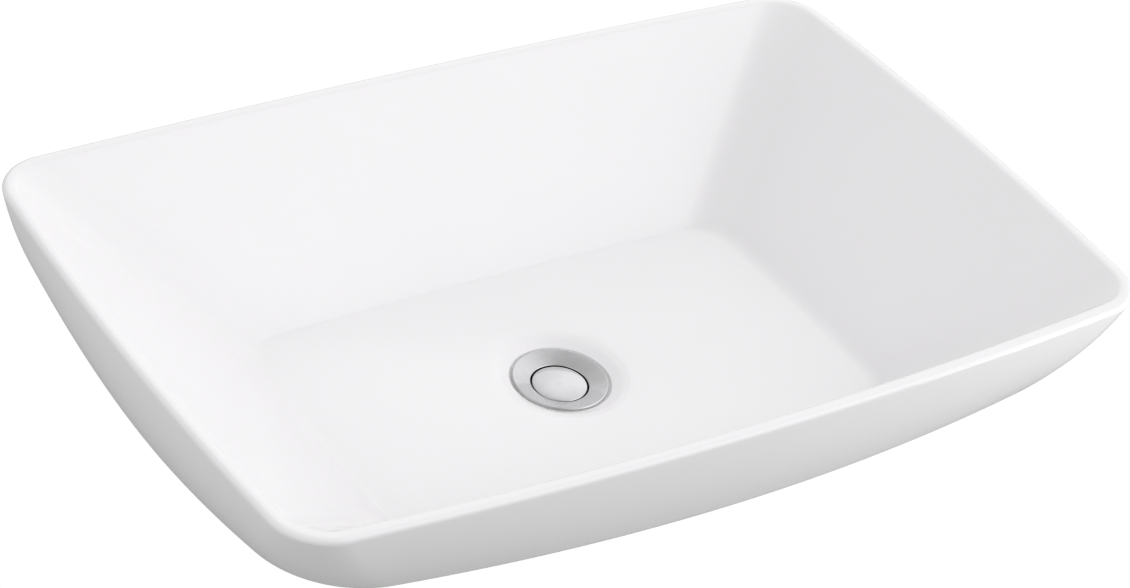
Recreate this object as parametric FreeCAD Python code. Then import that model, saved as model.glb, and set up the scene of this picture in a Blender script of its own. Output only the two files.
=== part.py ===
import FreeCAD, Part
import math
import os

# Semi-recessed wash basin with a click-clack waste.  Millimetres, +Z up.
# z = 0 is the flat foot ring that rests on the counter, x runs along the basin,
# -Y is the user's side, and the drain axis is x = y = 0.

V = FreeCAD.Vector
os.makedirs("parts", exist_ok=True)

# ---------------------------------------------------------------- basin sizes
HALF_LENGTH = 303.4        # widest half length of the rim
HALF_DEPTH = 196.4         # half depth at the middle of the rim
SHIFT_Y = 3.6              # the rim's middle lies this far behind the drain axis
RIM_Z = 68.0               # top of the rim above the counter
BOW_BACK = 5.6             # sagitta of the long back side
BOW_FRONT = 14.3           # sagitta of the long front side
BOW_SIDE = 8.0             # sagitta of the short sides
CORNER_R = 35.0            # plan corner radius at the widest line
WIDEST = 3.2               # widest line below the rim top = outer lip radius
LIP_FLAT = 1.0             # level width of the lip
LIP_T = 8.6                # lip width, outside to the start of the inner wall
LIP_DROP = 1.3             # inner wall starts this far below the rim top

SKIRT_IN_X = 19.5          # skirt inset at its foot, ends
SKIRT_IN_Y = 14.0          # skirt inset at its foot, front and back
SKIRT_POW = 2.3            # how late the skirt turns in
SKIRT_BOW_F = 12.5         # extra front bow at the foot
SKIRT_BOW_S = 14.9         # extra side bow at the foot
SKIRT_R = 70.4             # plan corner radius at the foot
FOOT_R = 8.0               # rounding of the foot's outer edge
FOOT_W = 7.0               # width of the flat foot ring
SKIRT_T = 12.0             # skirt wall

FLOOR_A = 178.0            # bowl floor half length
FLOOR_BACK = 89.4          # floor edge behind the rim's middle
FLOOR_FRONT = 112.0        # floor edge in front of the rim's middle
FLOOR_Z = -24.0            # floor level at its edge
FLOOR_BOW_B = 4.0
FLOOR_BOW_F = 7.0
FLOOR_BOW_S = 3.0
FLOOR_R = 27.0
FLOOR_T = 11.0             # floor thickness
BOWL_OFF_X = 16.3          # bowl wall, measured level, at the ends
BOWL_OFF_Y = 15.0          # bowl wall, measured level, front and back
CAVITY_S = 36.0            # the hollow between skirt and bowl stops here below the rim

DRAIN_R = 22.5             # hole through the ceramic
SEAT_R0, SEAT_Z0 = 22.5, -41.7
SEAT_R1, SEAT_Z1 = 31.0, -38.64
BOSS_R = 41.0
BOSS_Z = -57.0

# ---------------------------------------------------------------- waste sizes
FLANGE_R = 30.0
FLANGE_TOP = -36.6
TAIL_R = 20.955            # G 1 1/4 thread, major diameter 41.91
TAIL_END = -104.8
BORE_R = 18.2
CAP_R = 17.2
LIFT = 9.0                 # opening travel of the plug

HUB_TOP, HUB_BOTTOM = -80.0, -84.0
BARREL_R, BARREL_BORE = 8.0, 6.0
BARREL_TOP = -53.0
WELL_Z = -77.5
ROD_R = 4.2
ROD_CLEAR = 0.08


# ---------------------------------------------------------------- helpers
def save(shape, name):
    assert shape.isValid(), name
    for s in shape.Solids:
        assert s.Volume > 0, name
    shape.exportStep("parts/%s.step" % name)
    b = shape.BoundBox
    print("%-20s vol %9.1f mm3  z %.2f..%.2f  x %.1f..%.1f  y %.1f..%.1f" % (
        name, shape.Volume, b.ZMin, b.ZMax, b.XMin, b.XMax, b.YMin, b.YMax))


def quarter(a, b, bl, bs, r):
    """Tangent points of one corner (x > 0, y > 0) between a long arc through (0, b)
    and a short arc through (a, 0), with a fillet of radius r."""
    bl, bs = max(bl, 0.2), max(bs, 0.2)
    cx, cy = a - bs, b - bl
    rl = (cx * cx + bl * bl) / (2 * bl)
    rs = (cy * cy + bs * bs) / (2 * bs)
    c1 = (0.0, b - rl)
    c2 = (a - rs, 0.0)
    d1, d2 = rl - r, rs - r
    dx, dy = c2[0] - c1[0], c2[1] - c1[1]
    d = math.hypot(dx, dy)
    t = (d1 * d1 - d2 * d2 + d * d) / (2 * d)
    h = math.sqrt(max(d1 * d1 - t * t, 0.0))
    best = None
    for s in (1, -1):
        px = c1[0] + t * dx / d - s * h * dy / d
        py = c1[1] + t * dy / d + s * h * dx / d
        if best is None or px + py > best[0] + best[1]:
            best = (px, py)
    f = best
    n1 = ((f[0] - c1[0]) / d1, (f[1] - c1[1]) / d1)
    n2 = ((f[0] - c2[0]) / d2, (f[1] - c2[1]) / d2)
    p1 = (c1[0] + rl * n1[0], c1[1] + rl * n1[1])
    p2 = (c2[0] + rs * n2[0], c2[1] + rs * n2[1])
    m = (n1[0] + n2[0], n1[1] + n2[1])
    k = math.hypot(*m)
    pm = (f[0] + r * m[0] / k, f[1] + r * m[1] / k)
    g = math.atan2(n2[1], n2[0]) / 2.0
    ps = (c2[0] + rs * math.cos(g), c2[1] + rs * math.sin(g))
    return p1, pm, p2, ps


def outline(a, bb, bf, bow_b, bow_f, bow_s, r):
    """Twenty points of a bowed rounded rectangle: ten arcs, each a joint and a mid point."""
    p1, pm, p2, ps = quarter(a, bb, bow_b, bow_s, r)
    q1, qm, q2, qs = quarter(a, bf, bow_f, bow_s, r)
    pts = [
        (-p1[0], p1[1]), (0.0, bb),
        (p1[0], p1[1]), (pm[0], pm[1]),
        (p2[0], p2[1]), (ps[0], ps[1]),
        (a, 0.0), (qs[0], -qs[1]),
        (q2[0], -q2[1]), (qm[0], -qm[1]),
        (q1[0], -q1[1]), (0.0, -bf),
        (-q1[0], -q1[1]), (-qm[0], -qm[1]),
        (-q2[0], -q2[1]), (-qs[0], -qs[1]),
        (-a, 0.0), (-ps[0], ps[1]),
        (-p2[0], p2[1]), (-pm[0], pm[1]),
    ]
    return [(x, y + SHIFT_Y) for x, y in pts]


def circle(r):
    """The same twenty points on a circle."""
    ang = [118, 90, 62, 45, 28, 14, 0, -14, -28, -45, -62, -90, -118, -135, -152, -166, 180, 166, 152, 135]
    return [(r * math.cos(math.radians(t)), r * math.sin(math.radians(t))) for t in ang]


def blend(p, q, t):
    return [(u[0] + (v[0] - u[0]) * t, u[1] + (v[1] - u[1]) * t) for u, v in zip(p, q)]


def edges(pts, z):
    out = []
    n = len(pts)
    for i in range(0, n, 2):
        a, m, b = pts[i], pts[i + 1], pts[(i + 2) % n]
        out.append(Part.Arc(V(a[0], a[1], z), V(m[0], m[1], z), V(b[0], b[1], z)).toShape())
    return out


def skirt(s, extra=0.0):
    """Outline of the outer skirt s below the rim top, moved in by extra."""
    u = max((s - WIDEST) / (RIM_Z - WIDEST), 0.0)
    g = u ** SKIRT_POW
    return outline(HALF_LENGTH - SKIRT_IN_X * g - extra,
                   HALF_DEPTH - SKIRT_IN_Y * g - extra,
                   HALF_DEPTH - SKIRT_IN_Y * g - extra,
                   BOW_BACK, BOW_FRONT + SKIRT_BOW_F * u, BOW_SIDE + SKIRT_BOW_S * u,
                   max(CORNER_R + (SKIRT_R - CORNER_R) * u - extra, 6.0))


def lip(inset):
    return outline(HALF_LENGTH - inset, HALF_DEPTH - inset, HALF_DEPTH - inset,
                   BOW_BACK, BOW_FRONT, BOW_SIDE, CORNER_R - inset)


FLOOR = outline(FLOOR_A, FLOOR_BACK, FLOOR_FRONT, FLOOR_BOW_B, FLOOR_BOW_F, FLOOR_BOW_S, FLOOR_R)


def wall(t):
    """Inner wall, t = 0 at the lip and 1 at the floor edge."""
    return blend(lip(LIP_T), FLOOR, t), (RIM_Z - LIP_DROP) + t * (FLOOR_Z - RIM_Z + LIP_DROP)


def bowl_out(s):
    """Outside of the bowl wall s below the rim top."""
    t = (s - LIP_DROP) / (RIM_Z - FLOOR_Z - LIP_DROP)
    mid = blend([(HALF_LENGTH - LIP_T, HALF_DEPTH - LIP_T)], [(FLOOR_A, FLOOR_BACK)], t)[0]
    a = mid[0] + BOWL_OFF_X
    bb = mid[1] + BOWL_OFF_Y
    bf = (HALF_DEPTH - LIP_T) + t * (FLOOR_FRONT - HALF_DEPTH + LIP_T) + BOWL_OFF_Y
    return outline(a, bb, bf, BOW_BACK + t * (FLOOR_BOW_B - BOW_BACK),
                   BOW_FRONT + t * (FLOOR_BOW_F - BOW_FRONT),
                   BOW_SIDE + t * (FLOOR_BOW_S - BOW_SIDE), 40.0)


def revolve(profile):
    pts = [V(r, 0, z) for r, z in profile]
    pts.append(pts[0])
    face = Part.Face(Part.makePolygon(pts))
    return face.revolve(V(0, 0, 0), V(0, 0, 1), 360)


def tube(r0, r1, z0, z1):
    return revolve([(r0, z0), (r1, z0), (r1, z1), (r0, z1)])


def rod(r, z0, z1):
    return Part.makeCylinder(r, z1 - z0, V(0, 0, z0))


def hexagon(af, z0, z1):
    k = af / math.sqrt(3)
    pts = [V(k * math.cos(math.radians(60 * i)), k * math.sin(math.radians(60 * i)), z0) for i in range(7)]
    return Part.Face(Part.makePolygon(pts)).extrude(V(0, 0, z1 - z0))


# ---------------------------------------------------------------- ceramic body
rings = []                                    # (twenty points, z), once round the section

# the drain seat, its recess and the floor, working outwards
rings.append((circle(SEAT_R0), SEAT_Z0))
rings.append((circle(SEAT_R1), SEAT_Z1))
for r, z in ((31.2, -38.5), (31.6, -37.4), (32.6, -36.7), (35.0, -35.4), (38.0, -34.1), (42.0, -33.0), (46.0, -32.4)):
    rings.append((circle(r), z))
inner_floor = outline(FLOOR_A - 6.0, FLOOR_BACK - 5.0, FLOOR_FRONT - 5.0, FLOOR_BOW_B, FLOOR_BOW_F, FLOOR_BOW_S, FLOOR_R)
for t, z in ((0.35, -30.3), (0.7, -27.4)):
    rings.append((blend(circle(46.0), inner_floor, t), z))
rings.append((inner_floor, FLOOR_Z - 0.9))

# the inner wall up to the lip, and over it
w, z = wall(0.955)
rings.append((w, z))
w, z = wall(0.5)
rings.append((w, z))
w, z = wall(0.0)
rings.append((w, z))
rings.append((lip(6.2), RIM_Z - 0.3))
rings.append((lip(WIDEST + LIP_FLAT), RIM_Z))
for ang in (90, 60, 30):
    c, s = math.cos(math.radians(ang)), math.sin(math.radians(ang))
    rings.append((lip(WIDEST * (1 - c)), RIM_Z - WIDEST * (1 - s)))

# down the skirt to the foot
for s in (WIDEST, 12.0, 22.0, 32.0, 40.0, 48.0, 54.0, 60.0):
    rings.append((skirt(s), RIM_Z - s))
for ang in (30, 60, 90):
    rad = math.radians(ang)
    s = RIM_Z - FOOT_R + FOOT_R * math.sin(rad)
    rings.append((skirt(s, FOOT_R * (1 - math.cos(rad))), RIM_Z - s))

# the flat foot ring, then up the inside of the skirt
rings.append((skirt(RIM_Z, FOOT_R + FOOT_W), 0.0))
for s in (54.0, 46.0, 38.5):
    rings.append((skirt(s, SKIRT_T), RIM_Z - s))
rings.append((skirt(CAVITY_S, SKIRT_T + 2.5), RIM_Z - CAVITY_S))

# down the outside of the bowl, under the floor to the drain boss
a = bowl_out(CAVITY_S + 2.5)
rings.append((blend(a, rings[-1][0], 0.25), RIM_Z - CAVITY_S))
rings.append((a, RIM_Z - CAVITY_S - 2.5))
for s in (60.0, 92.0):
    rings.append((bowl_out(s), RIM_Z - s))
under = blend(bowl_out(101.0), circle(60.0), 0.06)
rings.append((under, FLOOR_Z - FLOOR_T + 1.0))
rings.append((blend(circle(BOSS_R + 6.0), under, 0.10), -45.0))
rings.append((circle(BOSS_R), -48.5))
rings.append((circle(BOSS_R), BOSS_Z + 1.5))
rings.append((circle(BOSS_R - 1.5), BOSS_Z))
rings.append((circle(DRAIN_R), BOSS_Z))

all_edges = [edges(p, z) for p, z in rings]
faces = []
n = len(rings)
for i in range(n):
    e0, e1 = all_edges[i], all_edges[(i + 1) % n]
    if abs(rings[i][1] - rings[(i + 1) % n][1]) < 1e-9:      # a level ring
        w0, w1 = Part.Wire(e0), Part.Wire(e1)
        big, small = (w0, w1) if w0.BoundBox.XLength > w1.BoundBox.XLength else (w1, w0)
        small.reverse()
        faces.append(Part.Face([big, small]))
    else:
        for u, v in zip(e0, e1):
            faces.append(Part.makeRuledSurface(u, v))
shell = Part.makeCompound(faces)
shell.sewShape(1e-5)
basin = Part.makeSolid(shell.Shells[0])
basin.fix(1e-5, 1e-5, 1e-3)
print("basin faces", len(basin.Faces), "valid", basin.isValid(), "mass kg", basin.Volume * 2.3e-6)
save(basin, "basin_body")

# ---------------------------------------------------------------- waste body
body = revolve([
    (BORE_R, -40.2), (29.2, FLANGE_TOP), (29.8, FLANGE_TOP - 0.15), (FLANGE_R, FLANGE_TOP - 0.6),
    (FLANGE_R, -38.0), (TAIL_R, -41.26), (TAIL_R, -79.0), (20.3, -79.6), (20.3, -80.4), (TAIL_R, -81.0),
    (TAIL_R, TAIL_END + 0.8), (20.2, TAIL_END), (18.4, TAIL_END),
    (18.4, -86.5), (17.2, -87.5), (17.2, -52.0), (16.4, -51.0), (16.4, -46.4), (BORE_R, -44.2)])
hub = tube(5.05, 8.2, HUB_BOTTOM, HUB_TOP)
arms = None
for i in range(3):
    arm = Part.makeBox(12.0, 3.6, HUB_TOP - HUB_BOTTOM, V(6.2, -1.8, HUB_BOTTOM))
    arm.rotate(V(0, 0, 0), V(0, 0, 1), 30 + 120 * i)
    arms = arm if arms is None else arms.fuse(arm)
bars = Part.makeCylinder(17.8, HUB_TOP - HUB_BOTTOM, V(0, 0, HUB_BOTTOM)).common(arms)
body = body.fuse([hub, bars]).removeSplitter()
save(body.Solids[0], "waste_body")

# seal under the flange, tapered gasket, washer and back nut under the ceramic
seal = revolve([(21.3, -41.165), (29.6, -38.174), (29.6, -39.144), (22.45, -41.718), (21.3, -42.132)])
save(seal, "flange_seal")
save(revolve([(21.15, -51.0), (22.2, -51.0), (22.3, BOSS_Z), (33.0, BOSS_Z), (33.0, -61.0), (30.0, -65.0), (21.15, -65.0)]), "taper_gasket")
save(tube(21.15, 31.5, -66.6, -65.0), "slip_washer")
nut = hexagon(52.0, -78.0, -66.6).cut(rod(21.005, -80.0, -60.0))
nut = nut.common(revolve([(0.0, -78.0), (27.4, -78.0), (30.2, -76.0), (30.2, -68.6), (27.4, -66.6), (0.0, -66.6)]))
save(nut.Solids[0], "back_nut")

# ---------------------------------------------------------------- click cartridge, fixed pieces
barrel = tube(BARREL_BORE, BARREL_R, WELL_Z, BARREL_TOP)
base = rod(BARREL_R, HUB_TOP, WELL_Z)
stud = rod(5.0, -93.0, HUB_TOP)
grip = hexagon(17.0, HUB_TOP, HUB_TOP + 4.0).cut(rod(BARREL_R - 0.5, HUB_TOP - 1, HUB_TOP + 5))
housing = barrel.fuse([base, stud, grip]).removeSplitter()
save(housing.Solids[0], "cartridge_barrel")
save(revolve([(ROD_R + ROD_CLEAR, -50.5), (7.6, -50.5), (8.6, -51.2), (8.6, -53.0), (5.9, -53.0), (5.9, -55.0), (ROD_R + ROD_CLEAR, -55.0)]), "barrel_lid")
save(tube(5.15, 9.0, -85.2, HUB_BOTTOM), "cartridge_washer")
save(hexagon(16.0, -90.2, -85.2).cut(rod(5.03, -95, -80)).Solids[0], "cartridge_nut")

# ---------------------------------------------------------------- spring
SPRING_R, WIRE_R, TURNS = 4.7, 0.45, 5
SPRING_Z0, SPRING_Z1 = WELL_Z, -69.7
RISE = SPRING_Z1 - SPRING_Z0 - 2 * WIRE_R
SIDES, STEPS = 10, 24                       # the wire is a ten-sided bar of the same section as round wire
facet = WIRE_R * math.sqrt(2 * math.pi / (SIDES * math.sin(2 * math.pi / SIDES)))
sections = []
for i in range(STEPS * TURNS + 1):
    turn = 2 * math.pi * i / STEPS
    out = V(math.cos(turn), math.sin(turn), 0)
    centre = out * SPRING_R + V(0, 0, SPRING_Z0 + WIRE_R + 0.02 + (RISE - 0.04) * i / (STEPS * TURNS))
    ring = [centre + out * (facet * math.cos(2 * math.pi * k / SIDES)) + V(0, 0, facet * math.sin(2 * math.pi * k / SIDES))
            for k in range(SIDES)]
    sections.append(Part.makePolygon(ring + [ring[0]]))
spring = Part.makeLoft(sections, True, True)
print("spring wire length", 2 * math.pi * SPRING_R * TURNS, "volume", spring.Volume)
save(spring.Solids[0] if spring.Solids else spring, "return_spring")

# ---------------------------------------------------------------- pieces that travel with the plug
TOP_COLLAR = -55.0 - LIFT - 0.3
plunger = rod(ROD_R, TOP_COLLAR, -49.8).fuse([
    rod(5.7, TOP_COLLAR - 2.0, TOP_COLLAR), rod(2.3, TOP_COLLAR - 7.5, TOP_COLLAR - 2.0)]).removeSplitter()
plunger = plunger.cut(rod(2.5, -62.0, -49.0))
save(plunger.Solids[0], "plunger")

ROTOR_TOP = TOP_COLLAR - 2.2
rotor = tube(2.38, 5.0, ROTOR_TOP - 3.0, ROTOR_TOP)
teeth = []
for i in range(4):
    lug = Part.makeBox(1.6, 1.6, 3.0, V(4.2, -0.8, ROTOR_TOP - 3.0))
    lug.rotate(V(0, 0, 0), V(0, 0, 1), 90 * i)
    teeth.append(lug)
rotor = rotor.fuse(teeth).removeSplitter()
save(rotor.Solids[0], "index_ring")

save(rod(2.5, -61.5, -43.2), "plug_stem")
save(hexagon(8.0, -49.8, -47.0).cut(rod(2.52, -55, -40)).Solids[0], "stem_lock_nut")

cap = revolve([
    (0.0, -39.25), (6.0, -39.36), (11.0, -39.65), (15.0, -40.1), (16.6, -40.4), (CAP_R, -40.9), (CAP_R, -42.2),
    (16.7, -42.6), (12.0, -42.6), (12.0, -42.0), (5.2, -42.0), (5.2, -46.8), (2.52, -46.8), (2.52, -43.0), (0.0, -43.0)])
save(cap, "plug_cap")
save(revolve([(10.0, -42.6), (16.8, -42.6), (17.5, -43.3), (17.2, -44.1), (13.0, -44.1), (10.0, -43.6)]), "plug_seal")
save(revolve([(5.25, -42.05), (9.9, -42.05), (9.9, -43.65), (12.8, -44.15), (14.2, -44.2), (14.2, -45.2), (8.0, -45.6), (5.25, -45.6)]), "seal_keeper")
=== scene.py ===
import bpy
import math
import numpy as np
from mathutils import Matrix, Vector


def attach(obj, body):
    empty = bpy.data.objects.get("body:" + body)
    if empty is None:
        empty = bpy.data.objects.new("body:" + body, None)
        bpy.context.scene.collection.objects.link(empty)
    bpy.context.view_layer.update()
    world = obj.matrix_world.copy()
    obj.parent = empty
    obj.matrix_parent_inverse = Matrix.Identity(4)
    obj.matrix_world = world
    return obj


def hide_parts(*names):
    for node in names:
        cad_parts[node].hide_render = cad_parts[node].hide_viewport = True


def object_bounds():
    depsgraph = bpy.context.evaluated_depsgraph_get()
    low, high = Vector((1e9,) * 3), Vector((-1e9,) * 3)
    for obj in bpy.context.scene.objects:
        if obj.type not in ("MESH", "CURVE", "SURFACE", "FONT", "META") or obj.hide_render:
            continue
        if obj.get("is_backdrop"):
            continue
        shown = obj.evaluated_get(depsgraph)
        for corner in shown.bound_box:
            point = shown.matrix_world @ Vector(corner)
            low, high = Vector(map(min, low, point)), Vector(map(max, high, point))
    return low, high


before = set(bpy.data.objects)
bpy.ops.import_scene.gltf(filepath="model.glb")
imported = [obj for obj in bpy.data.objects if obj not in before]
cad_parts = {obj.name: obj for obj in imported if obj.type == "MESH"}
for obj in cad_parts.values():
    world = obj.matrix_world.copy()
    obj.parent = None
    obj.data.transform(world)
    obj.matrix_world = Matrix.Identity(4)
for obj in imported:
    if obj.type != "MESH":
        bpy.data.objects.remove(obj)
cad_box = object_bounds()
MM = 0.001

# ------------------------------------------------------------------ sizes, in mm
HALF_LENGTH, HALF_DEPTH, RIM_Z, SHIFT_Y = 303.4, 196.4, 68.0, 3.6
BOW_BACK, BOW_FRONT, BOW_SIDE, CORNER_R = 5.6, 14.3, 8.0, 35.0
WIDEST, LIP_FLAT, LIP_T, LIP_DROP = 3.2, 1.0, 8.6, 1.3
SKIRT_IN_X, SKIRT_IN_Y, SKIRT_POW = 19.5, 14.0, 2.3
SKIRT_BOW_F, SKIRT_BOW_S, SKIRT_R = 12.5, 14.9, 70.4
FOOT_R, FOOT_W, SKIRT_T = 8.0, 7.0, 12.0
FLOOR_A, FLOOR_BACK, FLOOR_FRONT, FLOOR_Z = 178.0, 89.4, 112.0, -24.0
FLOOR_BOW_B, FLOOR_BOW_F, FLOOR_BOW_S, FLOOR_R, FLOOR_T = 4.0, 7.0, 3.0, 27.0, 11.0
BOWL_OFF_X, BOWL_OFF_Y, CAVITY_S = 16.3, 15.0, 40.0
DRAIN_R, BOSS_R, BOSS_Z = 22.5, 41.0, -57.0

# points along each arc of a ring: back, corner, side half, side half, corner, front ...
N_LONG, N_CORNER, N_SIDE = 72, 34, 24


def quarter(a, b, bl, bs, r):
    """Centres, radii and angles of the long arc, corner and side arc of one quadrant."""
    bl, bs = max(bl, 0.2), max(bs, 0.2)
    cx, cy = a - bs, b - bl
    rl = (cx * cx + bl * bl) / (2 * bl)
    rs = (cy * cy + bs * bs) / (2 * bs)
    c1, c2 = np.array([0.0, b - rl]), np.array([a - rs, 0.0])
    d1, d2 = rl - r, rs - r
    v = c2 - c1
    d = np.hypot(*v)
    t = (d1 * d1 - d2 * d2 + d * d) / (2 * d)
    h = math.sqrt(max(d1 * d1 - t * t, 0.0))
    e, n = v / d, np.array([-v[1], v[0]]) / d
    f = max((c1 + t * e + h * n, c1 + t * e - h * n), key=lambda p: p[0] + p[1])
    n1, n2 = (f - c1) / d1, (f - c2) / d2
    a1, a2 = math.atan2(n1[1], n1[0]), math.atan2(n2[1], n2[0])
    return c1, rl, c2, rs, f, a1, a2


def arc(c, r, a0, a1, n):
    t = np.linspace(a0, a1, n, endpoint=False)
    return np.column_stack([c[0] + r * np.cos(t), c[1] + r * np.sin(t)])


def outline(a, bb, bf, bow_b, bow_f, bow_s, r):
    """A bowed rounded rectangle, clockwise from its back left corner."""
    c1, rl, c2, rs, f, a1, a2 = quarter(a, bb, bow_b, bow_s, r)
    g1, ql, g2, qs, g, b1, b2 = quarter(a, bf, bow_f, bow_s, r)
    back = [arc(c1, rl, math.pi - a1, a1, N_LONG), arc(f, r, a1, a2, N_CORNER), arc(c2, rs, a2, 0.0, N_SIDE)]
    m = lambda c: np.array([c[0], -c[1]])
    front = [arc(m(g2), qs, 0.0, -b2, N_SIDE), arc(m(g), r, -b2, -b1, N_CORNER), arc(m(g1), ql, -b1, -math.pi + b1, N_LONG)]
    x = lambda c: np.array([-c[0], c[1]])
    left_f = [arc(x(m(g)), r, -math.pi + b1, -math.pi + b2, N_CORNER), arc(x(m(g2)), qs, -math.pi + b2, -math.pi, N_SIDE)]
    left_b = [arc(x(c2), rs, math.pi, math.pi - a2, N_SIDE), arc(x(f), r, math.pi - a2, math.pi - a1, N_CORNER)]
    return np.vstack(back + front + left_f + left_b) + np.array([0.0, SHIFT_Y])


def circle(r):
    knots = [118, 62, 28, 0, -28, -62, -118, -152, -180, -208, -242]
    counts = [N_LONG, N_CORNER, N_SIDE, N_SIDE, N_CORNER, N_LONG, N_CORNER, N_SIDE, N_SIDE, N_CORNER]
    t = np.concatenate([np.linspace(k0, k1, n, endpoint=False) for k0, k1, n in zip(knots, knots[1:], counts)])
    t = np.radians(t)
    return np.column_stack([r * np.cos(t), r * np.sin(t)])


NR = 2 * N_LONG + 4 * N_CORNER + 4 * N_SIDE


def per_point(back, corner, side, front):
    """A value for every point round a ring, eased from side to side through the corners."""
    ease = lambda u: u * u * (3 - 2 * u)
    k = lambda v0, v1, n: v0 + (v1 - v0) * ease(np.arange(n) / n)
    c = np.full
    half = N_CORNER // 2
    rest = N_CORNER - half
    return np.concatenate([
        c(N_LONG, back), k(back, corner, half), k(corner, side, rest), c(N_SIDE, side), c(N_SIDE, side),
        k(side, corner, half), k(corner, front, rest), c(N_LONG, front), k(front, corner, half), k(corner, side, rest),
        c(N_SIDE, side), c(N_SIDE, side), k(side, corner, half), k(corner, back, rest)])


def at(p, z):
    return np.column_stack([p, np.full(len(p), float(z)) if np.isscalar(z) else z])


def lip(inset):
    return outline(HALF_LENGTH - inset, HALF_DEPTH - inset, HALF_DEPTH - inset,
                   BOW_BACK, BOW_FRONT, BOW_SIDE, CORNER_R - inset)


def skirt(s, extra=0.0):
    u = max((s - WIDEST) / (RIM_Z - WIDEST), 0.0)
    g = u ** SKIRT_POW
    return outline(HALF_LENGTH - SKIRT_IN_X * g - extra, HALF_DEPTH - SKIRT_IN_Y * g - extra,
                   HALF_DEPTH - SKIRT_IN_Y * g - extra, BOW_BACK, BOW_FRONT + SKIRT_BOW_F * u,
                   BOW_SIDE + SKIRT_BOW_S * u, max(CORNER_R + (SKIRT_R - CORNER_R) * u - extra, 6.0))


def bowl_out(s):
    t = (s - LIP_DROP) / (RIM_Z - FLOOR_Z - LIP_DROP)
    a = HALF_LENGTH - LIP_T + t * (FLOOR_A - HALF_LENGTH + LIP_T) + BOWL_OFF_X
    bb = HALF_DEPTH - LIP_T + t * (FLOOR_BACK - HALF_DEPTH + LIP_T) + BOWL_OFF_Y
    bf = HALF_DEPTH - LIP_T + t * (FLOOR_FRONT - HALF_DEPTH + LIP_T) + BOWL_OFF_Y
    return outline(a, bb, bf, BOW_BACK + t * (FLOOR_BOW_B - BOW_BACK), BOW_FRONT + t * (FLOOR_BOW_F - BOW_FRONT),
                   BOW_SIDE + t * (FLOOR_BOW_S - BOW_SIDE), 40.0)


def fillet_path(pts, radii, n=8):
    """A polyline with its inner corners rounded, for turned profiles."""
    pts = [np.array(p, float) for p in pts]
    out = [pts[0]]
    for i in range(1, len(pts) - 1):
        r = radii[i - 1]
        if r <= 0:
            out.append(pts[i])
            continue
        u, v = pts[i - 1] - pts[i], pts[i + 1] - pts[i]
        lu, lv = np.hypot(*u), np.hypot(*v)
        u, v = u / lu, v / lv
        ang = math.acos(max(-1, min(1, float(u @ v))))
        d = min(r / math.tan(ang / 2), 0.49 * lu if i > 1 else 0.9 * lu, 0.49 * lv if i < len(pts) - 2 else 0.9 * lv)
        r = d * math.tan(ang / 2)
        b = (u + v) / np.hypot(*(u + v))
        c = pts[i] + b * (r / math.sin(ang / 2))
        p0, p1 = pts[i] + u * d, pts[i] + v * d
        a0, a1 = math.atan2(*(p0 - c)[::-1]), math.atan2(*(p1 - c)[::-1])
        da = (a1 - a0 + math.pi) % (2 * math.pi) - math.pi
        for k in range(n + 1):
            a = a0 + da * k / n
            out.append(c + r * np.array([math.cos(a), math.sin(a)]))
    out.append(pts[-1])
    return out


def rows_mesh(name, rows, closed=True, mats=None):
    """A quad mesh from rings of equal length, the last joined to the first if closed."""
    n = len(rows[0])
    co = np.vstack(rows) * MM
    faces, idx = [], []
    last = len(rows) if closed else len(rows) - 1
    j = np.arange(n)
    for i in range(last):
        a, b = i * n, ((i + 1) % len(rows)) * n
        q = np.column_stack([a + j, a + (j + 1) % n, b + (j + 1) % n, b + j])
        faces.append(q)
        idx.append(np.full(n, mats[i] if mats else 0))
    me = bpy.data.meshes.new(name)
    me.from_pydata(co.tolist(), [], np.vstack(faces).tolist())
    me.polygons.foreach_set("material_index", np.concatenate(idx).astype(np.int32))
    me.validate()
    ob = bpy.data.objects.new(name, me)
    bpy.context.scene.collection.objects.link(ob)
    return ob


def finish_mesh(ob, sharp=None):
    """Faces outwards, smooth, with edges over `sharp` degrees kept crisp."""
    import bmesh
    bm = bmesh.new()
    bm.from_mesh(ob.data)
    bmesh.ops.recalc_face_normals(bm, faces=bm.faces)
    bm.to_mesh(ob.data)
    bm.free()
    ob.data.polygons.foreach_set("use_smooth", [True] * len(ob.data.polygons))
    if sharp:
        ob.data.set_sharp_from_angle(angle=math.radians(sharp))
    ob.data.update()
    return ob


def turned(name, profile, seg=128, sharp=35, closed=True):
    """A turned piece from a closed (r, z) profile."""
    t = np.linspace(0, 2 * math.pi, seg, endpoint=False)
    rows = [np.column_stack([r * np.cos(t), r * np.sin(t), np.full(seg, z)]) for r, z in profile]
    ob = rows_mesh(name, rows, closed)
    return finish_mesh(ob, sharp)


# ------------------------------------------------------------------ materials
def material(name):
    m = bpy.data.materials.new(name)
    m.use_nodes = True
    nt = m.node_tree
    bsdf = nt.nodes["Principled BSDF"]
    return m, nt, bsdf


def node(nt, kind, **kw):
    n = nt.nodes.new(kind)
    for k, v in kw.items():
        if k in n.inputs:
            n.inputs[k].default_value = v
        else:
            setattr(n, k, v)
    return n


def coords(nt):
    return nt.nodes.new("ShaderNodeTexCoord").outputs["Object"]


def noise(nt, scale, detail=3.0, rough=0.5, vec=None):
    n = node(nt, "ShaderNodeTexNoise", Scale=scale, Detail=detail, Roughness=rough)
    nt.links.new(vec or coords(nt), n.inputs["Vector"])
    return n.outputs["Fac"]


def ramp(nt, fac, stops):
    r = nt.nodes.new("ShaderNodeValToRGB")
    r.color_ramp.elements[0].position, r.color_ramp.elements[0].color = stops[0][0], (*stops[0][1], 1)
    r.color_ramp.elements[1].position, r.color_ramp.elements[1].color = stops[-1][0], (*stops[-1][1], 1)
    for pos, col in stops[1:-1]:
        e = r.color_ramp.elements.new(pos)
        e.color = (*col, 1)
    nt.links.new(fac, r.inputs["Fac"])
    return r.outputs["Color"]


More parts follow.
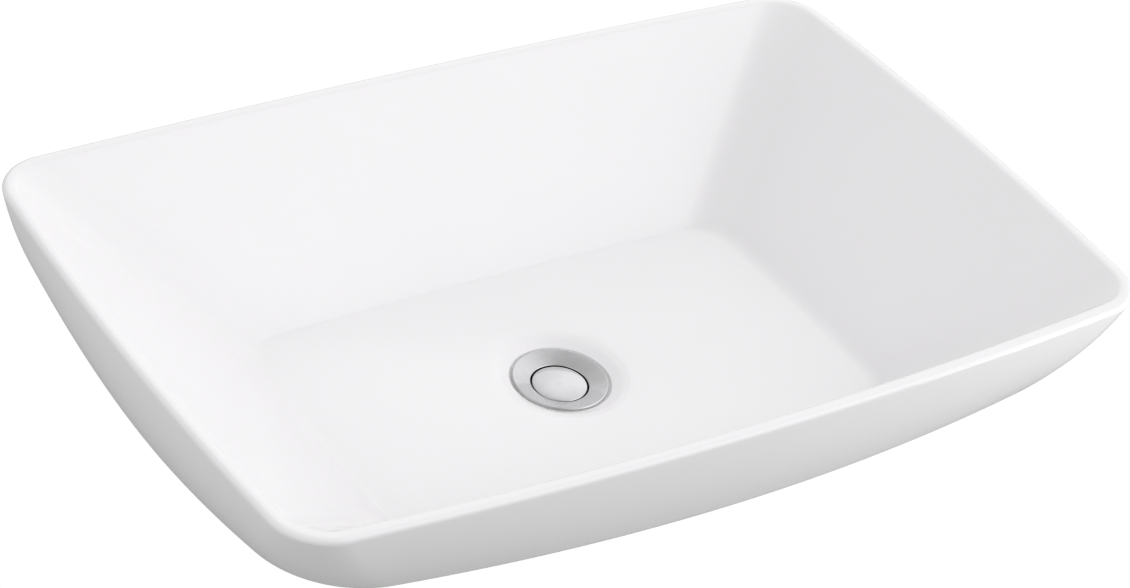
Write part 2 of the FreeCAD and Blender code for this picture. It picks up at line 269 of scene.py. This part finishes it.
def scaled(nt, fac, lo, hi, f0=0.0, f1=1.0):
    m = node(nt, "ShaderNodeMapRange")
    m.inputs["From Min"].default_value, m.inputs["From Max"].default_value = f0, f1
    m.inputs["To Min"].default_value, m.inputs["To Max"].default_value = lo, hi
    nt.links.new(fac, m.inputs["Value"])
    return m.outputs["Result"]


def bump(nt, bsdf, height, strength, distance):
    b = node(nt, "ShaderNodeBump", Strength=strength, Distance=distance)
    nt.links.new(height, b.inputs["Height"])
    nt.links.new(b.outputs["Normal"], bsdf.inputs["Normal"])
    return b


def mixed(nt, fac, a, b):
    m = nt.nodes.new("ShaderNodeMix")
    m.data_type = "RGBA"
    nt.links.new(fac, m.inputs["Factor"])
    for sock, v in ((m.inputs[6], a), (m.inputs[7], b)):
        if isinstance(v, tuple):
            sock.default_value = (*v, 1)
        else:
            nt.links.new(v, sock)
    return m.outputs[2]


def make_glaze():
    m, nt, b = material("white_glaze")
    v = coords(nt)
    cloud = noise(nt, 7.0, 2.0, 0.5, v)
    fine = noise(nt, 900.0, 2.0, 0.6, v)
    col = ramp(nt, cloud, [(0.30, (0.915, 0.902, 0.916)), (0.70, (0.930, 0.917, 0.931))])
    nt.links.new(col, b.inputs["Base Color"])
    nt.links.new(scaled(nt, cloud, 0.060, 0.105, 0.25, 0.75), b.inputs["Roughness"])
    b.inputs["IOR"].default_value = 1.52
    b.inputs["Coat Weight"].default_value = 0.35
    b.inputs["Coat Roughness"].default_value = 0.035
    b.inputs["Coat IOR"].default_value = 1.5
    wave = noise(nt, 55.0, 2.0, 0.5, v)
    add = node(nt, "ShaderNodeMath", operation="MULTIPLY_ADD")
    nt.links.new(wave, add.inputs[0])
    add.inputs[1].default_value = 1.0
    nt.links.new(scaled(nt, fine, 0.0, 0.04), add.inputs[2])
    bump(nt, b, add.outputs[0], 0.10, 0.00012)
    return m


def make_bisque():
    m, nt, b = material("fired_clay")
    v = coords(nt)
    speck = noise(nt, 420.0, 6.0, 0.7, v)
    cloud = noise(nt, 30.0, 3.0, 0.6, v)
    col = mixed(nt, scaled(nt, speck, 0.0, 1.0, 0.35, 0.75), (0.80, 0.77, 0.71), (0.64, 0.60, 0.54))
    col2 = mixed(nt, scaled(nt, cloud, 0.0, 0.5, 0.4, 0.7), col, (0.86, 0.84, 0.80))
    nt.links.new(col2, b.inputs["Base Color"])
    nt.links.new(scaled(nt, cloud, 0.72, 0.9), b.inputs["Roughness"])
    bump(nt, b, speck, 0.55, 0.0004)
    return m


def make_chrome(name="polished_chrome", tint=(0.60, 0.60, 0.61), r0=0.05, r1=0.12):
    m, nt, b = material(name)
    v = coords(nt)
    cloud = noise(nt, 160.0, 4.0, 0.6, v)
    stain = noise(nt, 55.0, 3.0, 0.5, v)
    col = mixed(nt, scaled(nt, stain, 0.0, 1.0, 0.45, 0.70), tint, tuple(c * 0.90 for c in tint))
    nt.links.new(col, b.inputs["Base Color"])
    b.inputs["Metallic"].default_value = 1.0
    nt.links.new(scaled(nt, cloud, r0, r1, 0.3, 0.7), b.inputs["Roughness"])
    bump(nt, b, noise(nt, 240.0, 2.0, 0.5, v), 0.06, 0.0001)
    return m


def make_brass():
    m, nt, b = material("turned_brass")
    v = coords(nt)
    sep = nt.nodes.new("ShaderNodeSeparateXYZ")
    nt.links.new(v, sep.inputs[0])
    com = nt.nodes.new("ShaderNodeCombineXYZ")
    nt.links.new(sep.outputs["Z"], com.inputs["Z"])
    line = noise(nt, 3200.0, 2.0, 0.6, com.outputs[0])
    tarnish = noise(nt, 90.0, 5.0, 0.65, v)
    col = mixed(nt, scaled(nt, tarnish, 0.0, 1.0, 0.42, 0.68), (0.78, 0.60, 0.30), (0.52, 0.37, 0.17))
    nt.links.new(col, b.inputs["Base Color"])
    b.inputs["Metallic"].default_value = 1.0
    nt.links.new(scaled(nt, tarnish, 0.20, 0.42, 0.3, 0.7), b.inputs["Roughness"])
    bump(nt, b, line, 0.25, 0.00008)
    return m


def make_steel():
    m, nt, b = material("stainless_steel")
    v = coords(nt)
    n1 = noise(nt, 600.0, 3.0, 0.6, v)
    col = mixed(nt, n1, (0.56, 0.56, 0.57), (0.70, 0.70, 0.71))
    nt.links.new(col, b.inputs["Base Color"])
    b.inputs["Metallic"].default_value = 1.0
    nt.links.new(scaled(nt, n1, 0.22, 0.38), b.inputs["Roughness"])
    bump(nt, b, n1, 0.15, 0.00008)
    return m


def make_rubber():
    m, nt, b = material("moulded_rubber")
    v = coords(nt)
    n1 = noise(nt, 900.0, 3.0, 0.6, v)
    n2 = noise(nt, 60.0, 3.0, 0.6, v)
    col = mixed(nt, n2, (0.018, 0.018, 0.019), (0.045, 0.045, 0.046))
    nt.links.new(col, b.inputs["Base Color"])
    nt.links.new(scaled(nt, n2, 0.52, 0.72), b.inputs["Roughness"])
    bump(nt, b, n1, 0.30, 0.0001)
    return m


def make_plastic(name, c0, c1, rough=(0.38, 0.55)):
    m, nt, b = material(name)
    v = coords(nt)
    n1 = noise(nt, 1400.0, 2.0, 0.6, v)
    n2 = noise(nt, 40.0, 3.0, 0.6, v)
    nt.links.new(mixed(nt, n2, c0, c1), b.inputs["Base Color"])
    nt.links.new(scaled(nt, n2, *rough), b.inputs["Roughness"])
    bump(nt, b, n1, 0.20, 0.00008)
    return m


GLAZE, BISQUE = make_glaze(), make_bisque()
CHROME = make_chrome()
BRASS, STEEL, RUBBER = make_brass(), make_steel(), make_rubber()
ACETAL = make_plastic("grey_acetal", (0.55, 0.56, 0.57), (0.66, 0.67, 0.68))
FOAM = make_plastic("white_washer", (0.80, 0.80, 0.78), (0.88, 0.88, 0.86), (0.7, 0.85))

# ------------------------------------------------------------------ ceramic
rows, mats = [], []


def add(p, mat=0):
    rows.append(p)
    mats.append(mat)


# the drain's seat, its recess and the edge round it
drain = fillet_path([(DRAIN_R, -41.7), (31.2, -38.55), (31.8, -37.05), (38.2, -34.0), (42.5, -32.85), (46.0, -32.35)], [0.5, 0.9, 16.0, 12.0], 10)
for i, (r, z) in enumerate(drain):
    add(at(circle(r), z), 0)
# the floor, falling to the waste
floor_edge = outline(FLOOR_A, FLOOR_BACK, FLOOR_FRONT, FLOOR_BOW_B, FLOOR_BOW_F, FLOOR_BOW_S, FLOOR_R)
L = at(lip(LIP_T), RIM_Z - LIP_DROP)
F = at(floor_edge, FLOOR_Z)
C = at(circle(46.0), -32.35)
rho = per_point(3.6, 15.0, 24.0, 12.0)
dw = F - L
lw = np.linalg.norm(dw, axis=1, keepdims=True)
df = F - C
lf = np.linalg.norm(df, axis=1, keepdims=True)
turn = np.arccos(np.clip((dw / lw * (-df / lf)).sum(1), -1, 1))
cut = (rho * np.tan(turn / 2))[:, None]
W, G = F - dw / lw * cut, F - df / lf * cut
for k in range(1, 27):
    t = k / 27
    add(C + (G - C) * t)
for k in range(0, 15):
    t = k / 14
    add((1 - t) ** 2 * G + 2 * t * (1 - t) * F + t * t * W)
# the inner wall
for k in range(1, 14):
    add(W + (L - W) * k / 13)
# over the lip
slope = (L - F) / np.linalg.norm(L - F, axis=1, keepdims=True)
top_in = at(lip(WIDEST + LIP_FLAT), RIM_Z)
ctrl = L + slope * (LIP_DROP / slope[:, 2:3])
for k in range(1, 9):
    t = k / 8
    add((1 - t) ** 2 * L + 2 * t * (1 - t) * ctrl + t * t * top_in)
for k in range(0, 15):
    a = math.pi / 2 * (1 - k / 14)
    add(at(lip(WIDEST * (1 - math.cos(a))), RIM_Z - WIDEST * (1 - math.sin(a))))
# down the skirt, round the foot
for s in np.linspace(WIDEST, RIM_Z - FOOT_R, 30)[1:]:
    add(at(skirt(s), RIM_Z - s))
for k in range(1, 13):
    a = math.pi / 2 * k / 12
    s = RIM_Z - FOOT_R + FOOT_R * math.sin(a)
    add(at(skirt(s, FOOT_R * (1 - math.cos(a))), RIM_Z - s), 1 if k == 12 else 0)
# the bare foot ring
for e in (1.5, 3.5, 5.5):
    add(at(skirt(RIM_Z, FOOT_R + e), 0.0), 1)
for k in range(0, 7):
    a = math.pi / 2 * k / 6
    add(at(skirt(RIM_Z, FOOT_R + FOOT_W - 1.5 * (1 - math.sin(a))), 1.5 * (1 - math.cos(a))), 1 if k < 6 else 0)
# up the inside of the skirt, across and down the outside of the bowl
inner0 = skirt(RIM_Z, FOOT_R + FOOT_W)
for k in range(1, 12):
    t = k / 11
    s = RIM_Z - 1.5 + t * (CAVITY_S - RIM_Z + 1.5)
    e = t * t * (3 - 2 * t)
    add(at(inner0 * (1 - e) + skirt(s, SKIRT_T) * e, RIM_Z - s))
p0 = at(skirt(CAVITY_S, SKIRT_T), RIM_Z - CAVITY_S)
p3 = at(bowl_out(CAVITY_S), RIM_Z - CAVITY_S)
for k in range(1, 10):
    a = math.pi * k / 10
    t = (1 - math.cos(a)) / 2
    add(p0 * (1 - t) + p3 * t + np.array([0, 0, 3.5 * math.sin(a)]))
for s in np.linspace(CAVITY_S, 86.0, 8):
    add(at(bowl_out(s), RIM_Z - s))
U0, U1 = at(bowl_out(86.0), RIM_Z - 86.0), at(bowl_out(101.0), RIM_Z - 101.0)
under_z = FLOOR_Z - FLOOR_T + 1.0
U2 = at(bowl_out(101.0) * 0.94 + circle(60.0) * 0.06, under_z)
U3 = at(circle(BOSS_R + 6.0) * 0.9 + (bowl_out(101.0) * 0.94 + circle(60.0) * 0.06) * 0.1, -45.0)
corner = U1 * 0.5 + U2 * 0.5
for k in range(1, 9):
    t = k / 9
    q = U2 + (U3 - U2) * 0.12
    add((1 - t) ** 2 * U0 + 2 * t * (1 - t) * (U1 * 0.35 + U2 * 0.65) + t * t * q)
for k in range(0, 12):
    t = 0.12 + 0.88 * k / 11
    add(U2 + (U3 - U2) * t)
for r, z in fillet_path([(BOSS_R + 6.0, -45.6), (BOSS_R + 0.6, -47.2), (BOSS_R, BOSS_Z), (DRAIN_R, BOSS_Z)], [4.0, 1.6], 7)[1:]:
    add(at(circle(r), z), 1 if z < BOSS_Z + 0.8 else 0)
add(at(circle(DRAIN_R), BOSS_Z + 0.01), 1)
add(at(circle(DRAIN_R), -49.0), 1)
ceramic = rows_mesh("ceramic_basin", rows, True, mats)
finish_mesh(ceramic, 48)
ceramic.data.materials.append(GLAZE)
ceramic.data.materials.append(BISQUE)
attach(ceramic, "basin")
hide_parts("basin_body")

# ------------------------------------------------------------------ waste, from above
flange = fillet_path([
    (18.2, -43.0), (18.2, -40.12), (29.3, -36.55), (30.0, -36.95), (30.0, -38.0), (20.6, -41.2), (20.6, -44.0)],
    [0.55, 0.5, 0.35, 0.25, 0.0], 7)
PITCH = 25.4 / 11
lower = [(20.3, -104.2), (19.8, -104.8), (18.6, -104.8), (18.4, -104.5), (18.4, -86.5), (17.2, -87.5 + 1.0), (17.2, -52.0), (16.4, -51.0), (16.4, -46.4), (18.2, -44.2)]
seg = 144
ang = np.linspace(0, 2 * math.pi, seg, endpoint=False)


def ring3(r, z):
    return np.column_stack([r * np.cos(ang), r * np.sin(ang), np.full(seg, z)])


wrows = [ring3(r, z) for r, z in flange]
zs = np.arange(-44.4, -104.0, -PITCH / 12)
for z in zs:
    ph = (z / PITCH + ang / (2 * math.pi)) % 1.0
    tri = np.clip(np.abs(ph - 0.5) * 2 * 1.25 - 0.12, 0, 1)
    fade = min(1.0, (-44.4 - z) / 2.0, (z + 104.6) / 1.6)
    r = 20.955 - 1.45 * tri * max(fade, 0.0)
    wrows.append(np.column_stack([r * np.cos(ang), r * np.sin(ang), np.full(seg, z)]))
wrows += [ring3(r, z) for r, z in lower]
waste = rows_mesh("waste_flange_and_tail", wrows, True)
finish_mesh(waste, 40)
waste.data.materials.append(CHROME)


def join(name, parts):
    """One object from several, with each part kept a closed shell."""
    import bmesh
    bm = bmesh.new()
    for p in parts:
        bm.from_mesh(p.data)
    me = bpy.data.meshes.new(name)
    bm.to_mesh(me)
    bm.free()
    for m in parts[0].data.materials:
        me.materials.append(m)
    ob = bpy.data.objects.new(name, me)
    bpy.context.scene.collection.objects.link(ob)
    for p in parts:
        bpy.data.objects.remove(p)
    return ob


def bar(name, x0, x1, half, z0, z1, turn, r=0.5):
    """A cast spider arm with rounded long edges."""
    sec = []
    for cx, cz, a0 in ((half - r, z1 - r, 0), (-half + r, z1 - r, 90), (-half + r, z0 + r, 180), (half - r, z0 + r, 270)):
        for k in range(5):
            a = math.radians(a0 + 90 * k / 4)
            sec.append((cx + r * math.cos(a), cz + r * math.sin(a)))
    n = len(sec)
    co, faces = [], []
    xs = np.linspace(x0, x1, 4)
    for x in xs:
        for y, z in sec:
            co.append((x, y, z))
    for i in range(len(xs) - 1):
        for j in range(n):
            faces.append((i * n + j, i * n + (j + 1) % n, (i + 1) * n + (j + 1) % n, (i + 1) * n + j))
    faces.append(tuple(range(n)))
    faces.append(tuple((len(xs) - 1) * n + j for j in range(n)))
    co = np.array(co) * MM
    c, s = math.cos(turn), math.sin(turn)
    co = np.column_stack([co[:, 0] * c - co[:, 1] * s, co[:, 0] * s + co[:, 1] * c, co[:, 2]])
    me = bpy.data.meshes.new(name)
    me.from_pydata(co.tolist(), [], faces)
    ob = bpy.data.objects.new(name, me)
    bpy.context.scene.collection.objects.link(ob)
    return finish_mesh(ob, 40)


hub = turned("hub", fillet_path([(5.05, -82.0), (5.05, -84.0), (8.2, -84.0), (8.2, -80.0), (5.05, -80.0), (5.05, -82.0)], [0.3, 0.5, 0.5, 0.3], 3), 64)
arms = [bar("arm%d" % i, 7.4, 17.5, 1.8, -84.0, -80.0, math.radians(30 + 120 * i)) for i in range(3)]
waste = join("chrome_waste", [waste, hub] + arms)
waste.data.set_sharp_from_angle(angle=math.radians(40))
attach(waste, "basin")
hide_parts("waste_body")

# the plug: a low dome with a rolled edge
dome = [(0.02, -39.15), (2.0, -39.16), (4.0, -39.2), (6.0, -39.27), (8.0, -39.37), (10.0, -39.5), (12.0, -39.67), (13.6, -39.84), (15.0, -40.03), (15.9, -40.2)]
rim = fillet_path([(15.9, -40.2), (17.2, -40.45), (17.2, -42.6), (12.0, -42.6), (12.0, -42.0), (5.2, -42.0), (5.2, -46.8), (2.55, -46.8), (2.55, -43.0), (0.02, -43.0)],
                  [0.7, 0.5, 0.2, 0.2, 0.2, 0.4, 0.2, 0.2], 6)
cap = turned("chrome_plug", dome + rim[1:], 144, 40, closed=False)


def plug_poles(ob):
    """Closes the two tiny centre holes of a turned piece."""
    import bmesh
    bm = bmesh.new()
    bm.from_mesh(ob.data)
    bmesh.ops.holes_fill(bm, edges=[e for e in bm.edges if e.is_boundary], sides=0)
    bmesh.ops.recalc_face_normals(bm, faces=bm.faces)
    bm.to_mesh(ob.data)
    bm.free()
    ob.data.polygons.foreach_set("use_smooth", [True] * len(ob.data.polygons))
    ob.data.set_sharp_from_angle(angle=math.radians(40))


plug_poles(cap)
cap.data.materials.append(CHROME)
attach(cap, "plug")
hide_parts("plug_cap")


def piece(name, node_name, body, mat, profile, radii, seg=128):
    ob = turned(name, fillet_path(profile, radii, 5), seg)
    ob.data.materials.append(mat)
    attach(ob, body)
    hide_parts(node_name)
    return ob


piece("plug_seal_ring", "plug_seal", "plug", RUBBER,
      [(10.0, -43.1), (10.0, -42.6), (16.8, -42.6), (17.5, -43.3), (17.2, -44.1), (13.0, -44.1), (10.0, -43.6), (10.0, -43.1)],
      [0.1, 0.3, 0.4, 0.3, 0.2, 0.2])
piece("seal_keeper_ring", "seal_keeper", "plug", ACETAL,
      [(5.25, -43.5), (5.25, -42.05), (9.9, -42.05), (9.9, -43.65), (12.8, -44.15), (14.2, -44.2), (14.2, -45.2), (8.0, -45.6), (5.25, -45.6), (5.25, -43.5)],
      [0.2, 0.2, 0.1, 0.1, 0.3, 0.3, 0.3, 0.2])
piece("taper_gasket_ring", "taper_gasket", "basin", RUBBER,
      [(21.15, -55.0), (21.15, -51.0), (22.2, -51.0), (22.3, BOSS_Z), (33.0, BOSS_Z), (33.0, -61.0), (30.0, -65.0), (21.15, -65.0), (21.15, -55.0)],
      [0.2, 0.4, 0.0, 0.8, 0.8, 0.8, 0.3])
piece("slip_washer_ring", "slip_washer", "basin", ACETAL,
      [(21.15, -65.8), (21.15, -65.0), (31.5, -65.0), (31.5, -66.6), (21.15, -66.6), (21.15, -65.8)],
      [0.15, 0.4, 0.4, 0.15])
piece("flange_seal_ring", "flange_seal", "basin", FOAM,
      [(21.3, -41.6), (21.3, -41.165), (29.6, -38.174), (29.6, -39.144), (22.45, -41.718), (21.3, -42.132), (21.3, -41.6)],
      [0.1, 0.2, 0.2, 0.1, 0.1])

# carried-over pieces
for name, mat in (("back_nut", BRASS), ("cartridge_barrel", BRASS), ("barrel_lid", BRASS), ("cartridge_washer", STEEL),
                  ("cartridge_nut", BRASS), ("return_spring", STEEL), ("plunger", BRASS), ("index_ring", ACETAL),
                  ("plug_stem", STEEL), ("stem_lock_nut", BRASS)):
    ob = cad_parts[name]
    ob.data.materials.clear()
    ob.data.materials.append(mat)

# ------------------------------------------------------------------ stage, light, camera
def stage_plane(name, z, shade0, shade1, glow):
    """A large level sheet with an even, faintly clouded pale surface."""
    bpy.ops.mesh.primitive_plane_add(size=14.0, location=(0, 0, z))
    ob = bpy.context.object
    ob.name = name
    m, nt, b = material(name)
    nt.links.new(ramp(nt, noise(nt, 0.6, 2.0), [(0.3, (shade0,) * 3), (0.7, (shade1,) * 3)]), b.inputs["Base Color"])
    b.inputs["Roughness"].default_value = 0.9
    b.inputs["Specular IOR Level"].default_value = 0.1
    b.inputs["Emission Color"].default_value = (1, 1, 1, 1)
    b.inputs["Emission Strength"].default_value = glow
    ob.data.materials.append(m)
    ob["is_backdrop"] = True
    return ob


# the floor is lit from below like a white product table, so it has no shadow; it throws no light on the basin
floor = stage_plane("studio_floor", -0.16, 0.04, 0.05, 0.975)
floor.visible_diffuse = floor.visible_glossy = floor.visible_transmission = floor.visible_shadow = False
# a soft grey card in the same place gives the weak light from below
card = stage_plane("bounce_card", -0.161, 0.24, 0.26, 0.23)
card.visible_camera = False

world = bpy.data.worlds.new("studio")
bpy.context.scene.world = world
world.use_nodes = True
wnt = world.node_tree
sky = wnt.nodes["Background"]
sky.inputs["Color"].default_value = (1, 1, 1, 1)
direction = wnt.nodes.new("ShaderNodeTexCoord").outputs["Generated"]
# large soft lights round the room: direction, narrowness, strength
LOBES = [((-1, 0, 0.25), 2, 1.162), ((1, 0, 0.25), 2, 0.591), ((1, 1, 0.9), 6, 0.764), ((1, -1, 0.9), 6, 1.916),
         ((-1, -1, 0.9), 6, 0.081), ((0, 1, 0.25), 2, 0.476), ((0, 0, 1), 4, 0.397)]
total = None
for d, power, strength in LOBES:
    dot = node(wnt, "ShaderNodeVectorMath", operation="DOT_PRODUCT")
    wnt.links.new(direction, dot.inputs[0])
    dot.inputs[1].default_value = Vector(d).normalized()
    front = node(wnt, "ShaderNodeMath", operation="MAXIMUM")
    wnt.links.new(dot.outputs["Value"], front.inputs[0])
    front.inputs[1].default_value = 0.0
    shaped = node(wnt, "ShaderNodeMath", operation="POWER")
    wnt.links.new(front.outputs[0], shaped.inputs[0])
    shaped.inputs[1].default_value = power
    summed = node(wnt, "ShaderNodeMath", operation="MULTIPLY_ADD")
    wnt.links.new(shaped.outputs[0], summed.inputs[0])
    summed.inputs[1].default_value = strength
    summed.inputs[2].default_value = 0.0
    if total is not None:
        wnt.links.new(total, summed.inputs[2])
    total = summed.outputs[0]
wnt.links.new(total, sky.inputs["Strength"])


def softbox(name, loc, target, size, power, color=(1, 1, 1)):
    d = bpy.data.lights.new(name, "AREA")
    d.shape, d.size, d.size_y, d.energy, d.color = "RECTANGLE", size[0], size[1], power, color
    o = bpy.data.objects.new(name, d)
    o.location = loc
    o.rotation_euler = (Vector(target) - Vector(loc)).to_track_quat("-Z", "Y").to_euler()
    bpy.context.scene.collection.objects.link(o)
    return o


# two small soft lights low at the front right, which brighten that end of the skirt
softbox("right_fill", (0.80, -0.75, 0.02), (0.22, -0.19, 0.03), (0.35, 0.25), 0.70)
softbox("right_near_fill", (0.55, -0.42, 0.0), (0.25, -0.18, 0.03), (0.2, 0.15), 0.55)

AZ, EL, ROLL = math.radians(-38.92), math.radians(35.37), math.radians(10.14)
TARGET, DIST = Vector((-0.0435, -0.0422, 0.068)), 1.9406
back = Vector((math.sin(AZ) * math.cos(EL), -math.cos(AZ) * math.cos(EL), math.sin(EL)))
right = (-back).cross(Vector((0, 0, 1))).normalized()
up = right.cross(-back)
r2 = math.cos(ROLL) * right + math.sin(ROLL) * up
u2 = -math.sin(ROLL) * right + math.cos(ROLL) * up
TARGET = TARGET + r2 * 0.00101 + u2 * 0.00072
cam_data = bpy.data.cameras.new("camera")
cam = bpy.data.objects.new("camera", cam_data)
bpy.context.scene.collection.objects.link(cam)
cam_data.sensor_fit = "HORIZONTAL"
cam_data.sensor_width = 36.0
cam_data.lens = 107.0
cam_data.clip_start, cam_data.clip_end = 0.05, 50.0
loc = TARGET + back * DIST
cam.matrix_world = Matrix(((r2.x, u2.x, back.x, loc.x), (r2.y, u2.y, back.y, loc.y), (r2.z, u2.z, back.z, loc.z), (0, 0, 0, 1)))
bpy.context.scene.camera = cam
bpy.context.scene.view_settings.view_transform = "Standard"
bpy.context.scene.view_settings.look = "None"

{"cad": [[float(x) for x in p] for p in cad_box], "visual": [[float(x) for x in p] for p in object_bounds()]}
